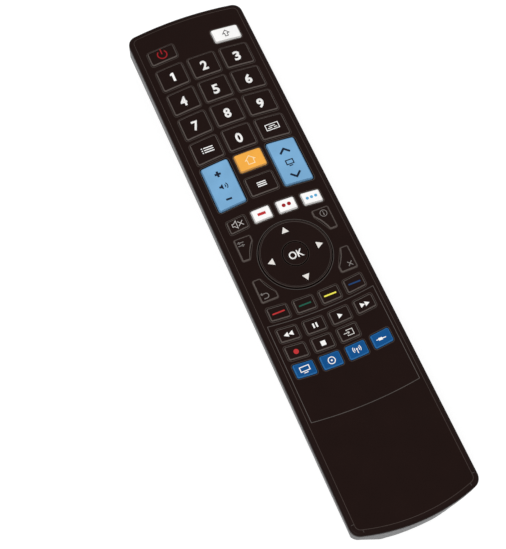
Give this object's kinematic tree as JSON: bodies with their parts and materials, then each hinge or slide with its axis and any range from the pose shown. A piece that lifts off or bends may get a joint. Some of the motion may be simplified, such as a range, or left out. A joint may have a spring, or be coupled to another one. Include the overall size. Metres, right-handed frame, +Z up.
{
  "type": "universal remote control",
  "caption": "Long slab infrared remote control with arched rows of separate sprung keys, a navigation ring, rockers and a sliding battery cover.",
  "frame": {"origin": "under the middle of the body, on the surface that it lies on", "axes": "+Z up out of the key face, +Y towards the infrared end, +X to the reader's right"},
  "size_m": [0.048, 0.2158, 0.0207],
  "materials": {
    "shell_grey": "fine moulded grain, mid grey",
    "frame_black": "smooth black moulding",
    "face_black": "satin black",
    "key_black": "satin black with a light printed legend",
    "key_white": "satin white",
    "key_light_blue": "satin light blue",
    "key_orange": "satin orange",
    "key_blue": "satin blue",
    "window_plastic": "dark polished infrared filter",
    "washer_plastic": "natural acetal",
    "silicone": "grey silicone",
    "board_laminate": "green laminate",
    "chip_plastic": "black moulded package",
    "capacitor_sleeve": "dark sleeve",
    "diode_resin": "tinted clear resin",
    "socket_plastic": "black moulding",
    "cell_jacket": "plain printed jacket, steel ends",
    "contact_steel": "nickel plated spring steel",
    "screw_steel": "zinc plated"
  },
  "bodies": {
    "case": {"lower_shell": "shell_grey", "upper_frame": "frame_black", "front_panel": "face_black", "ir_window": "window_plastic", "keypad_mat": "silicone", "circuit_board": "board_laminate", "controller_chip": "chip_plastic", "capacitor": "capacitor_sleeve", "ir_diodes": "diode_resin", "jack_socket": "socket_plastic", "battery_left": "cell_jacket", "battery_right": "cell_jacket", "spring_contacts": "contact_steel", "contact_plates": "contact_steel", "case_screws": "screw_steel"},
    "battery_cover": {"battery_cover": "shell_grey"},
    "power_key": {"power_key": "key_black"},
    "key_1": {"key_1": "key_black"},
    "key_2": {"key_2": "key_black"},
    "key_3": {"key_3": "key_black"},
    "key_4": {"key_4": "key_black"},
    "key_5": {"key_5": "key_black"},
    "key_6": {"key_6": "key_black"},
    "key_7": {"key_7": "key_black"},
    "key_8": {"key_8": "key_black"},
    "key_9": {"key_9": "key_black"},
    "key_0": {"key_0": "key_black"},
    "guide_key": {"guide_key": "key_black"},
    "subtitle_key": {"subtitle_key": "key_black"},
    "menu_key": {"menu_key": "key_black"},
    "mute_key": {"mute_key": "key_black"},
    "tools_key": {"tools_key": "key_black"},
    "info_key": {"info_key": "key_black"},
    "return_key": {"return_key": "key_black"},
    "exit_key": {"exit_key": "key_black"},
    "red_key": {"red_key": "key_black"},
    "green_key": {"green_key": "key_black"},
    "yellow_key": {"yellow_key": "key_black"},
    "blue_key": {"blue_key": "key_black"},
    "rewind_key": {"rewind_key": "key_black"},
    "pause_key": {"pause_key": "key_black"},
    "play_key": {"play_key": "key_black"},
    "fast_forward_key": {"fast_forward_key": "key_black"},
    "record_key": {"record_key": "key_black"},
    "stop_key": {"stop_key": "key_black"},
    "source_key": {"source_key": "key_black"},
    "ok_key": {"ok_key": "key_black"},
    "shift_key": {"shift_key": "key_white"},
    "app_key_1": {"app_key_1": "key_white"},
    "app_key_2": {"app_key_2": "key_white"},
    "app_key_3": {"app_key_3": "key_white"},
    "tv_mode_key": {"tv_mode_key": "key_blue"},
    "disc_mode_key": {"disc_mode_key": "key_blue"},
    "tuner_mode_key": {"tuner_mode_key": "key_blue"},
    "aux_mode_key": {"aux_mode_key": "key_blue"},
    "home_key": {"home_key": "key_orange"},
    "volume_rocker": {"volume_rocker": "key_light_blue"},
    "channel_rocker": {"channel_rocker": "key_light_blue"},
    "nav_washer": {"nav_washer": "washer_plastic"},
    "nav_ring": {"nav_ring": "key_black"}
  },
  "joints": [
    {"name": "battery_cover_slide", "type": "slide", "parent": "case", "child": "battery_cover", "axis": [0, -1, 0], "range_m": [0, 0.062]},
    {"name": "nav_washer_tip", "type": "hinge", "parent": "case", "child": "nav_washer", "pos_m": [0, -0.0038, 0.01675], "axis": [1, 0, 0], "range_deg": [-2.2, 2.2], "stiffness_Nm_per_rad": 0.3, "deforming": ["keypad_mat"]},
    {"name": "nav_ring_tip", "type": "hinge", "parent": "nav_washer", "child": "nav_ring", "pos_m": [0, -0.0038, 0.01755], "axis": [0, 1, 0], "range_deg": [-2.2, 2.2], "stiffness_Nm_per_rad": 0.3, "deforming": ["keypad_mat"]},
    {"name": "volume_rocker_rock", "type": "hinge", "parent": "case", "child": "volume_rocker", "pos_m": [-0.01345, 0.03198, 0.017], "axis": [1, 0, 0], "range_deg": [-3, 3], "stiffness_Nm_per_rad": 0.25, "deforming": ["keypad_mat"]},
    {"name": "channel_rocker_rock", "type": "hinge", "parent": "case", "child": "channel_rocker", "pos_m": [0.01345, 0.03198, 0.017], "axis": [1, 0, 0], "range_deg": [-3, 3], "stiffness_Nm_per_rad": 0.25, "deforming": ["keypad_mat"]},
    {"name": "power_key_press", "type": "slide", "parent": "case", "child": "power_key", "axis": [0, 0, -1], "range_m": [0, 0.0007], "stiffness_N_per_m": 1500, "deforming": ["keypad_mat"]},
    {"name": "key_1_press", "type": "slide", "parent": "case", "child": "key_1", "axis": [0, 0, -1], "range_m": [0, 0.0007], "stiffness_N_per_m": 1500, "deforming": ["keypad_mat"]},
    {"name": "key_2_press", "type": "slide", "parent": "case", "child": "key_2", "axis": [0, 0, -1], "range_m": [0, 0.0007], "stiffness_N_per_m": 1500, "deforming": ["keypad_mat"]},
    {"name": "key_3_press", "type": "slide", "parent": "case", "child": "key_3", "axis": [0, 0, -1], "range_m": [0, 0.0007], "stiffness_N_per_m": 1500, "deforming": ["keypad_mat"]},
    {"name": "key_4_press", "type": "slide", "parent": "case", "child": "key_4", "axis": [0, 0, -1], "range_m": [0, 0.0007], "stiffness_N_per_m": 1500, "deforming": ["keypad_mat"]},
    {"name": "key_5_press", "type": "slide", "parent": "case", "child": "key_5", "axis": [0, 0, -1], "range_m": [0, 0.0007], "stiffness_N_per_m": 1500, "deforming": ["keypad_mat"]},
    {"name": "key_6_press", "type": "slide", "parent": "case", "child": "key_6", "axis": [0, 0, -1], "range_m": [0, 0.0007], "stiffness_N_per_m": 1500, "deforming": ["keypad_mat"]},
    {"name": "key_7_press", "type": "slide", "parent": "case", "child": "key_7", "axis": [0, 0, -1], "range_m": [0, 0.0007], "stiffness_N_per_m": 1500, "deforming": ["keypad_mat"]},
    {"name": "key_8_press", "type": "slide", "parent": "case", "child": "key_8", "axis": [0, 0, -1], "range_m": [0, 0.0007], "stiffness_N_per_m": 1500, "deforming": ["keypad_mat"]},
    {"name": "key_9_press", "type": "slide", "parent": "case", "child": "key_9", "axis": [0, 0, -1], "range_m": [0, 0.0007], "stiffness_N_per_m": 1500, "deforming": ["keypad_mat"]},
    {"name": "key_0_press", "type": "slide", "parent": "case", "child": "key_0", "axis": [0, 0, -1], "range_m": [0, 0.0007], "stiffness_N_per_m": 1500, "deforming": ["keypad_mat"]},
    {"name": "guide_key_press", "type": "slide", "parent": "case", "child": "guide_key", "axis": [0, 0, -1], "range_m": [0, 0.0007], "stiffness_N_per_m": 1500, "deforming": ["keypad_mat"]},
    {"name": "subtitle_key_press", "type": "slide", "parent": "case", "child": "subtitle_key", "axis": [0, 0, -1], "range_m": [0, 0.0007], "stiffness_N_per_m": 1500, "deforming": ["keypad_mat"]},
    {"name": "menu_key_press", "type": "slide", "parent": "case", "child": "menu_key", "axis": [0, 0, -1], "range_m": [0, 0.0007], "stiffness_N_per_m": 1500, "deforming": ["keypad_mat"]},
    {"name": "mute_key_press", "type": "slide", "parent": "case", "child": "mute_key", "axis": [0, 0, -1], "range_m": [0, 0.0007], "stiffness_N_per_m": 1500, "deforming": ["keypad_mat"]},
    {"name": "tools_key_press", "type": "slide", "parent": "case", "child": "tools_key", "axis": [0, 0, -1], "range_m": [0, 0.0007], "stiffness_N_per_m": 1500, "deforming": ["keypad_mat"]},
    {"name": "info_key_press", "type": "slide", "parent": "case", "child": "info_key", "axis": [0, 0, -1], "range_m": [0, 0.0007], "stiffness_N_per_m": 1500, "deforming": ["keypad_mat"]},
    {"name": "return_key_press", "type": "slide", "parent": "case", "child": "return_key", "axis": [0, 0, -1], "range_m": [0, 0.0007], "stiffness_N_per_m": 1500, "deforming": ["keypad_mat"]},
    {"name": "exit_key_press", "type": "slide", "parent": "case", "child": "exit_key", "axis": [0, 0, -1], "range_m": [0, 0.0007], "stiffness_N_per_m": 1500, "deforming": ["keypad_mat"]},
    {"name": "red_key_press", "type": "slide", "parent": "case", "child": "red_key", "axis": [0, 0, -1], "range_m": [0, 0.0007], "stiffness_N_per_m": 1500, "deforming": ["keypad_mat"]},
    {"name": "green_key_press", "type": "slide", "parent": "case", "child": "green_key", "axis": [0, 0, -1], "range_m": [0, 0.0007], "stiffness_N_per_m": 1500, "deforming": ["keypad_mat"]},
    {"name": "yellow_key_press", "type": "slide", "parent": "case", "child": "yellow_key", "axis": [0, 0, -1], "range_m": [0, 0.0007], "stiffness_N_per_m": 1500, "deforming": ["keypad_mat"]},
    {"name": "blue_key_press", "type": "slide", "parent": "case", "child": "blue_key", "axis": [0, 0, -1], "range_m": [0, 0.0007], "stiffness_N_per_m": 1500, "deforming": ["keypad_mat"]},
    {"name": "rewind_key_press", "type": "slide", "parent": "case", "child": "rewind_key", "axis": [0, 0, -1], "range_m": [0, 0.0007], "stiffness_N_per_m": 1500, "deforming": ["keypad_mat"]},
    {"name": "pause_key_press", "type": "slide", "parent": "case", "child": "pause_key", "axis": [0, 0, -1], "range_m": [0, 0.0007], "stiffness_N_per_m": 1500, "deforming": ["keypad_mat"]},
    {"name": "play_key_press", "type": "slide", "parent": "case", "child": "play_key", "axis": [0, 0, -1], "range_m": [0, 0.0007], "stiffness_N_per_m": 1500, "deforming": ["keypad_mat"]},
    {"name": "fast_forward_key_press", "type": "slide", "parent": "case", "child": "fast_forward_key", "axis": [0, 0, -1], "range_m": [0, 0.0007], "stiffness_N_per_m": 1500, "deforming": ["keypad_mat"]},
    {"name": "record_key_press", "type": "slide", "parent": "case", "child": "record_key", "axis": [0, 0, -1], "range_m": [0, 0.0007], "stiffness_N_per_m": 1500, "deforming": ["keypad_mat"]},
    {"name": "stop_key_press", "type": "slide", "parent": "case", "child": "stop_key", "axis": [0, 0, -1], "range_m": [0, 0.0007], "stiffness_N_per_m": 1500, "deforming": ["keypad_mat"]},
    {"name": "source_key_press", "type": "slide", "parent": "case", "child": "source_key", "axis": [0, 0, -1], "range_m": [0, 0.0007], "stiffness_N_per_m": 1500, "deforming": ["keypad_mat"]},
    {"name": "ok_key_press", "type": "slide", "parent": "case", "child": "ok_key", "axis": [0, 0, -1], "range_m": [0, 0.0006], "stiffness_N_per_m": 1500, "deforming": ["keypad_mat"]},
    {"name": "shift_key_press", "type": "slide", "parent": "case", "child": "shift_key", "axis": [0, 0, -1], "range_m": [0, 0.0007], "stiffness_N_per_m": 1500, "deforming": ["keypad_mat"]},
    {"name": "app_key_1_press", "type": "slide", "parent": "case", "child": "app_key_1", "axis": [0, 0, -1], "range_m": [0, 0.0007], "stiffness_N_per_m": 1500, "deforming": ["keypad_mat"]},
    {"name": "app_key_2_press", "type": "slide", "parent": "case", "child": "app_key_2", "axis": [0, 0, -1], "range_m": [0, 0.0007], "stiffness_N_per_m": 1500, "deforming": ["keypad_mat"]},
    {"name": "app_key_3_press", "type": "slide", "parent": "case", "child": "app_key_3", "axis": [0, 0, -1], "range_m": [0, 0.0007], "stiffness_N_per_m": 1500, "deforming": ["keypad_mat"]},
    {"name": "tv_mode_key_press", "type": "slide", "parent": "case", "child": "tv_mode_key", "axis": [0, 0, -1], "range_m": [0, 0.0007], "stiffness_N_per_m": 1500, "deforming": ["keypad_mat"]},
    {"name": "disc_mode_key_press", "type": "slide", "parent": "case", "child": "disc_mode_key", "axis": [0, 0, -1], "range_m": [0, 0.0007], "stiffness_N_per_m": 1500, "deforming": ["keypad_mat"]},
    {"name": "tuner_mode_key_press", "type": "slide", "parent": "case", "child": "tuner_mode_key", "axis": [0, 0, -1], "range_m": [0, 0.0007], "stiffness_N_per_m": 1500, "deforming": ["keypad_mat"]},
    {"name": "aux_mode_key_press", "type": "slide", "parent": "case", "child": "aux_mode_key", "axis": [0, 0, -1], "range_m": [0, 0.0007], "stiffness_N_per_m": 1500, "deforming": ["keypad_mat"]},
    {"name": "home_key_press", "type": "slide", "parent": "case", "child": "home_key", "axis": [0, 0, -1], "range_m": [0, 0.0007], "stiffness_N_per_m": 1500, "deforming": ["keypad_mat"]}
  ]
}
